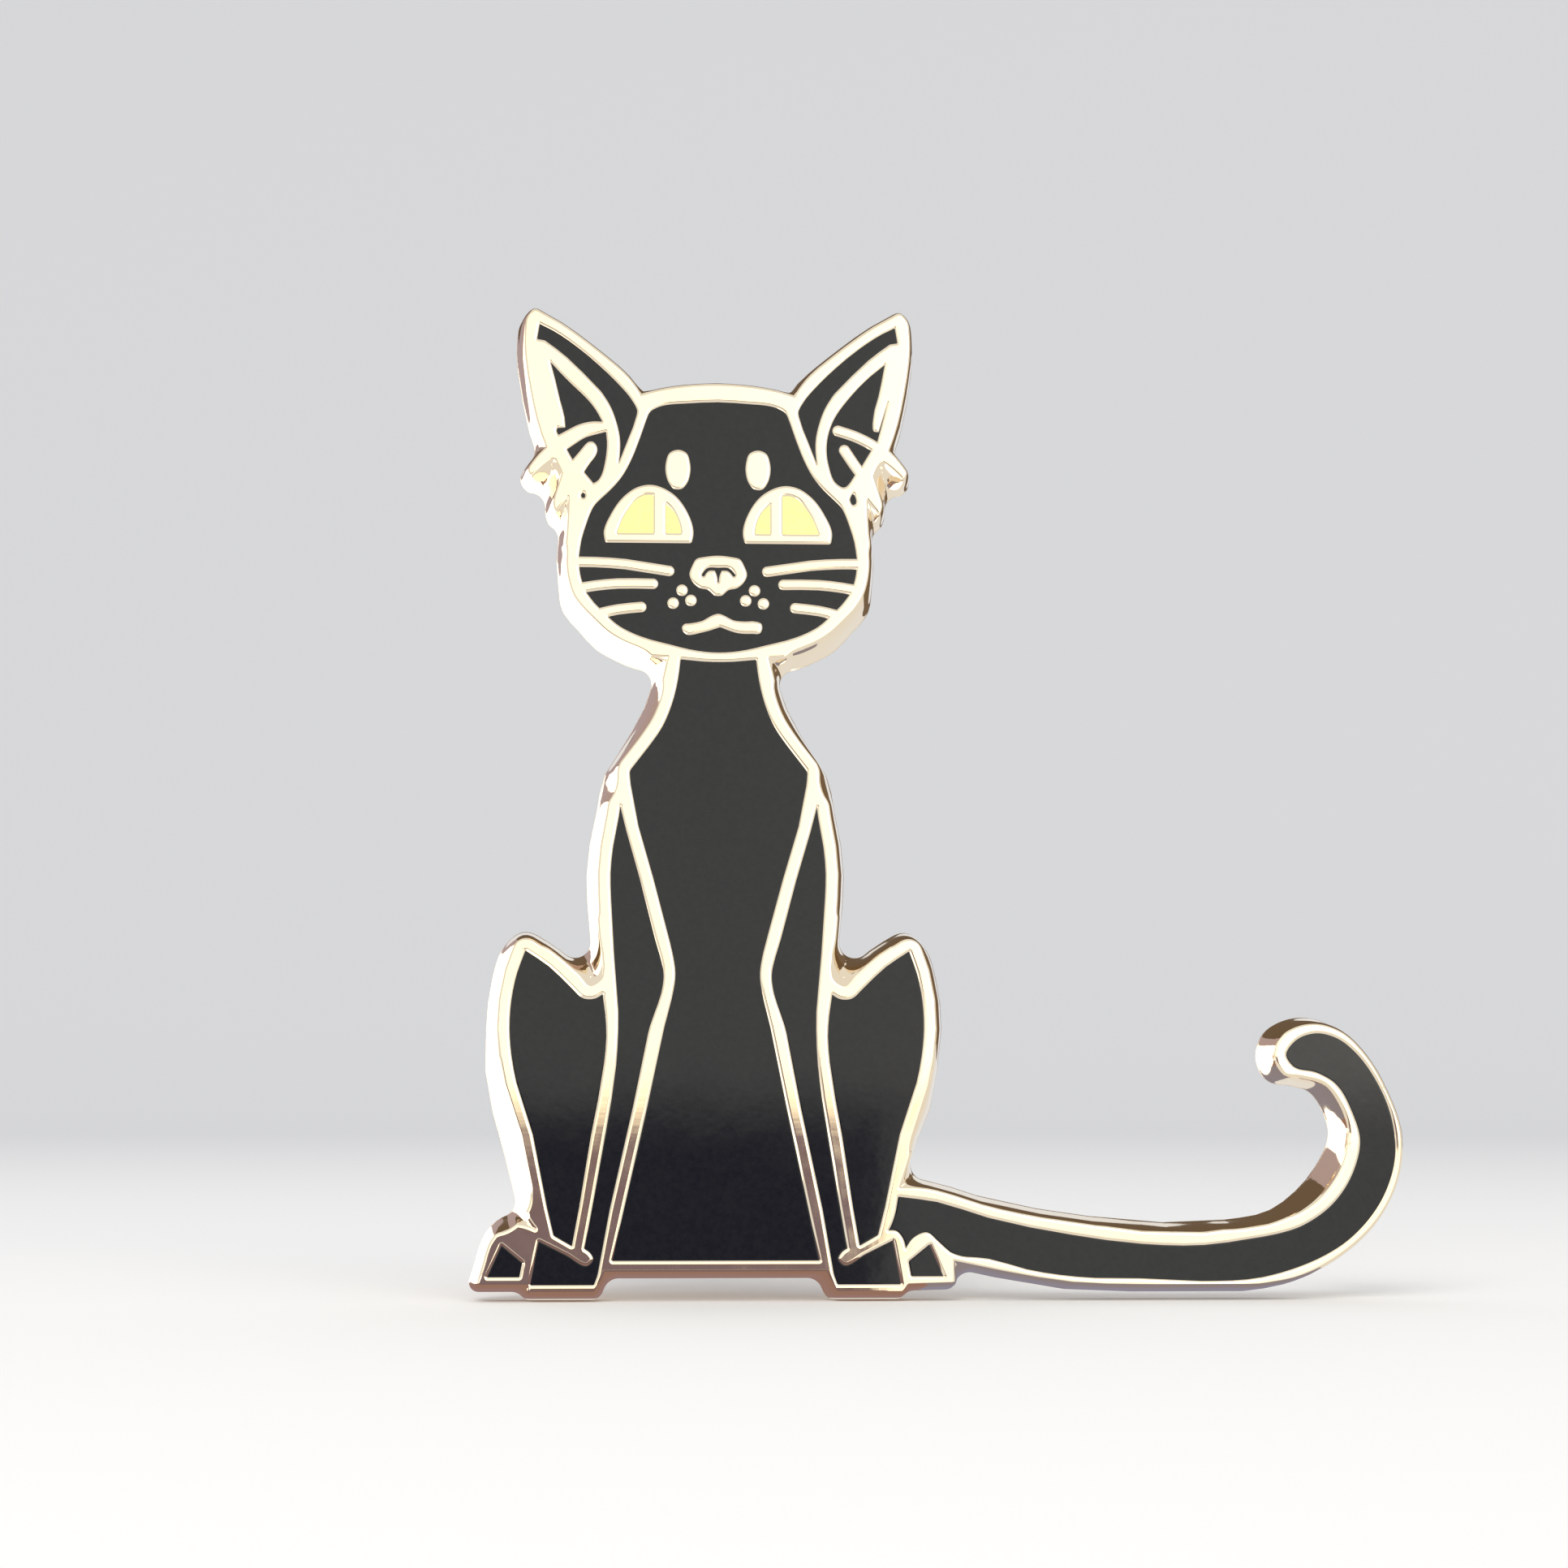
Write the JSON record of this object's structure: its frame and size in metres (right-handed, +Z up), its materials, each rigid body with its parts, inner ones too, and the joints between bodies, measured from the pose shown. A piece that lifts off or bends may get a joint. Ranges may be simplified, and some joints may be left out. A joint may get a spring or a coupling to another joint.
{
  "type": "enamel pin",
  "caption": "Sitting-cat enamel pin: gold-coloured raised outline with black and pale lime hard enamel cells, worn with posts and squeeze-to-release butterfly clutches.",
  "frame": {"origin": "on the plate's flat back face, midway between the two posts", "axes": "+Y out of the back face along the posts, the enamelled front faces -Y; +Z up, from the paws to the ears; +X to the right seen from the front, towards the tail"},
  "size_m": [0.0359, 0.0095, 0.0382],
  "materials": {
    "gold_metal": "polished",
    "black_enamel": "gloss",
    "lime_enamel": "gloss",
    "post_metal": "polished",
    "clutch_metal": "satin"
  },
  "bodies": {
    "plate": {"metal_plate": "gold_metal", "face_enamel": "black_enamel", "left_ear_strip": "black_enamel", "right_ear_strip": "black_enamel", "left_inner_ear": "black_enamel", "right_inner_ear": "black_enamel", "left_eye_outer": "lime_enamel", "left_eye_inner": "lime_enamel", "right_eye_outer": "lime_enamel", "right_eye_inner": "lime_enamel", "nostril_enamel": "black_enamel", "chest_enamel": "black_enamel", "left_leg_enamel": "black_enamel", "right_leg_enamel": "black_enamel", "left_haunch_enamel": "black_enamel", "right_haunch_enamel": "black_enamel", "left_back_paw": "black_enamel", "right_back_paw": "black_enamel", "tail_enamel": "black_enamel", "top_post": "post_metal", "bottom_post": "post_metal"},
    "top_cup": {"top_clutch_cup": "clutch_metal"},
    "top_spring": {"top_clutch_spring": "clutch_metal"},
    "top_window_wing": {"top_clutch_window_wing": "clutch_metal"},
    "top_neck_wing": {"top_clutch_neck_wing": "clutch_metal"},
    "bottom_cup": {"bottom_clutch_cup": "clutch_metal"},
    "bottom_spring": {"bottom_clutch_spring": "clutch_metal"},
    "bottom_window_wing": {"bottom_clutch_window_wing": "clutch_metal"},
    "bottom_neck_wing": {"bottom_clutch_neck_wing": "clutch_metal"}
  },
  "joints": [
    {"name": "top_clutch_slide", "type": "slide", "parent": "plate", "child": "top_cup", "axis": [0, 1, 0], "range_m": [-0.0014, 0.008]},
    {"name": "top_clutch_spin", "type": "hinge", "parent": "top_cup", "child": "top_spring", "pos_m": [0, 0.00345, 0.01075], "axis": [0, 1, 0], "continuous": true},
    {"name": "top_window_squeeze", "type": "hinge", "parent": "top_spring", "child": "top_window_wing", "pos_m": [0, 0.00345, 0.01415], "axis": [1, 0, 0], "range_deg": [0, 8], "stiffness_Nm_per_rad": 0.01},
    {"name": "top_neck_squeeze", "type": "hinge", "parent": "top_spring", "child": "top_neck_wing", "pos_m": [0, 0.00345, 0.00735], "axis": [-1, 0, 0], "range_deg": [0, 8], "stiffness_Nm_per_rad": 0.01},
    {"name": "bottom_clutch_slide", "type": "slide", "parent": "plate", "child": "bottom_cup", "axis": [0, 1, 0], "range_m": [-0.0014, 0.008]},
    {"name": "bottom_clutch_spin", "type": "hinge", "parent": "bottom_cup", "child": "bottom_spring", "pos_m": [0, 0.00345, -0.01075], "axis": [0, 1, 0], "continuous": true},
    {"name": "bottom_window_squeeze", "type": "hinge", "parent": "bottom_spring", "child": "bottom_window_wing", "pos_m": [-0.0034, 0.00345, -0.01075], "axis": [0, 0, 1], "range_deg": [0, 8], "stiffness_Nm_per_rad": 0.01},
    {"name": "bottom_neck_squeeze", "type": "hinge", "parent": "bottom_spring", "child": "bottom_neck_wing", "pos_m": [0.0034, 0.00345, -0.01075], "axis": [0, 0, -1], "range_deg": [0, 8], "stiffness_Nm_per_rad": 0.01}
  ],
  "couplings": [
    {"joint": "top_neck_squeeze", "follows": "top_window_squeeze", "ratio": 1},
    {"joint": "bottom_neck_squeeze", "follows": "bottom_window_squeeze", "ratio": 1}
  ]
}
